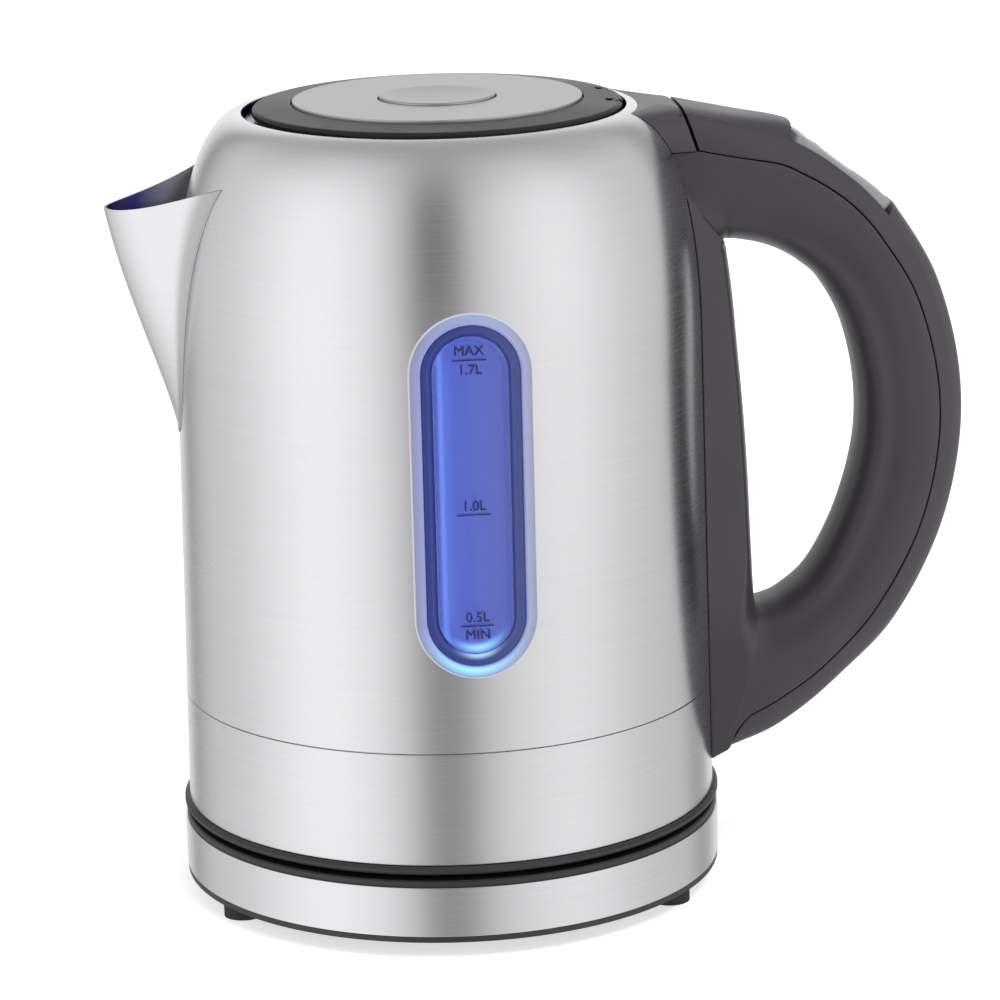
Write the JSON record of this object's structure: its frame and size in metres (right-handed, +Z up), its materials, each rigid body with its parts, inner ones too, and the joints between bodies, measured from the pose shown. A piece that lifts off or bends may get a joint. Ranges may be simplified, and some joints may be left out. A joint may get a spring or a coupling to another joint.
{
  "type": "electric kettle",
  "caption": "Cordless electric kettle of brushed steel with a lit water window, hinged push-button lid, D-shaped handle with keys, and a round power base.",
  "frame": {"origin": "on the body's axis at table level, under the base", "axes": "+Z up, handle towards +X, spout towards -X, water window towards -Y"},
  "size_m": [0.2365, 0.1505, 0.2205],
  "materials": {
    "brushed_steel": "brushed round the body, satin",
    "spout_steel": "satin",
    "plain_steel": "plain sheet",
    "black_plastic": "satin black",
    "handle_plastic": "satin dark grey, fine texture",
    "lid_plastic": "satin grey",
    "rubber": "matte",
    "brass": "plain",
    "aluminium": "plain",
    "silicone": "translucent white",
    "cream_plastic": "plain",
    "wire": "insulation",
    "circuit_board": "solder mask",
    "panel_silver": "silver paint",
    "key_silver": "silver",
    "button_silver": "satin silver",
    "disc_steel": "fine brushed",
    "window_clear": "clear, lit blue",
    "bezel_clear": "frosted clear",
    "window_blue": "lit blue"
  },
  "bodies": {
    "base": {"base_bottom_cover": "black_plastic", "base_feet": "rubber", "base_screws": "plain_steel", "base_band": "brushed_steel", "base_top_cover": "black_plastic", "cord_gland": "black_plastic", "terminal_block": "cream_plastic", "base_leads": "wire"},
    "plug_tower": {"plug_tower": "black_plastic", "plug_contacts": "brass"},
    "lid": {"lid_ring": "lid_plastic", "lid_disc": "disc_steel", "lid_cup": "lid_plastic", "lid_plate": "plain_steel", "lid_seal": "silicone", "lid_screws": "plain_steel", "hinge_pin": "plain_steel", "button_springs": "plain_steel", "latch_spring": "plain_steel"},
    "lid_button": {"lid_button": "button_silver"},
    "lid_latch": {"lid_latch": "lid_plastic"},
    "start_key": {"start_key": "key_silver"},
    "key_1": {"key_1": "key_silver"},
    "key_2": {"key_2": "key_silver"},
    "key_3": {"key_3": "key_silver"},
    "key_4": {"key_4": "key_silver"},
    "kettle": {"bottom_ring": "black_plastic", "bottom_cover": "black_plastic", "bottom_screws": "plain_steel", "floor_studs": "plain_steel", "kettle_socket": "black_plastic", "socket_contacts": "brass", "thermal_cutouts": "plain_steel", "heating_element": "aluminium", "heat_spreader": "aluminium", "heating_plate": "plain_steel", "plate_seal": "silicone", "temperature_probe": "plain_steel", "lower_band": "brushed_steel", "body_shell": "brushed_steel", "spout": "spout_steel", "filter_frame": "black_plastic", "filter_mesh": "plain_steel", "window_bezel": "bezel_clear", "gauge_frame": "window_blue", "gauge_window": "window_clear", "light_chamber": "window_blue", "gauge_seal": "silicone", "light_board": "circuit_board", "neck_ring": "black_plastic", "latch_keeper": "plain_steel", "handle_strip": "handle_plastic", "hinge_hood": "handle_plastic", "grip_inner": "handle_plastic", "grip_cover": "handle_plastic", "handle_brackets": "plain_steel", "control_panel": "panel_silver", "control_board": "circuit_board", "key_switches": "cream_plastic"}
  },
  "joints": [
    {"name": "kettle_turn", "type": "hinge", "parent": "base", "child": "plug_tower", "pos_m": [0, 0, 0.0212], "axis": [0, 0, 1], "continuous": true},
    {"name": "kettle_lift", "type": "slide", "parent": "plug_tower", "child": "kettle", "axis": [0, 0, 1], "range_m": [0, 0.06]},
    {"name": "lid_open", "type": "hinge", "parent": "kettle", "child": "lid", "pos_m": [0.0486, 0, 0.2178], "axis": [0, 1, 0], "range_deg": [0, 85]},
    {"name": "lid_button_press", "type": "slide", "parent": "lid", "child": "lid_button", "axis": [0, 0, -1], "range_m": [0, 0.0025], "stiffness_N_per_m": 600, "springref_m": -0.002, "deforming": ["button_springs"]},
    {"name": "latch_pull", "type": "slide", "parent": "lid", "child": "lid_latch", "axis": [1, 0, 0], "range_m": [0, 0.0025], "deforming": ["latch_spring"]},
    {"name": "start_key_press", "type": "slide", "parent": "kettle", "child": "start_key", "axis": [-0.6074, 0, -0.7944], "range_m": [0, 0.0004], "stiffness_N_per_m": 500, "springref_m": -0.0003},
    {"name": "key_1_press", "type": "slide", "parent": "kettle", "child": "key_1", "axis": [-0.6074, 0, -0.7944], "range_m": [0, 0.0004], "stiffness_N_per_m": 500, "springref_m": -0.0003},
    {"name": "key_2_press", "type": "slide", "parent": "kettle", "child": "key_2", "axis": [-0.6074, 0, -0.7944], "range_m": [0, 0.0004], "stiffness_N_per_m": 500, "springref_m": -0.0003},
    {"name": "key_3_press", "type": "slide", "parent": "kettle", "child": "key_3", "axis": [-0.6074, 0, -0.7944], "range_m": [0, 0.0004], "stiffness_N_per_m": 500, "springref_m": -0.0003},
    {"name": "key_4_press", "type": "slide", "parent": "kettle", "child": "key_4", "axis": [-0.6074, 0, -0.7944], "range_m": [0, 0.0004], "stiffness_N_per_m": 500, "springref_m": -0.0003}
  ],
  "couplings": [
    {"joint": "latch_pull", "follows": "lid_button_press", "ratio": 1}
  ]
}
